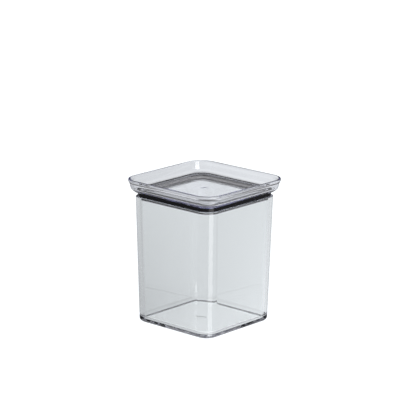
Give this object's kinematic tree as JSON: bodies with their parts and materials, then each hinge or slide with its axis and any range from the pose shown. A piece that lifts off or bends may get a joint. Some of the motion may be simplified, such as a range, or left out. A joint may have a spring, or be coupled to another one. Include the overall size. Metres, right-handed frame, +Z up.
{
  "type": "square lidded storage canister",
  "caption": "Tall square storage canister of clear plastic with rounded corners and drafted walls, closed by a push-in tray lid with a dark sealing ring.",
  "frame": {"origin": "centre of the foot, on the surface that the canister stands on", "axes": "+Z up, along the canister's height; +X and +Y square to two neighbouring walls"},
  "size_m": [0.118, 0.118, 0.1472],
  "materials": {
    "clear_plastic": "clear, polished",
    "lid_plastic": "clear, polished",
    "seal_rubber": "satin silicone"
  },
  "bodies": {
    "container": {"container": "clear_plastic"},
    "lid": {"lid": "lid_plastic", "seal": "seal_rubber"}
  },
  "joints": [
    {"name": "lid_lift", "type": "slide", "parent": "container", "child": "lid", "axis": [0, 0, 1], "range_m": [0, 0.12]}
  ]
}
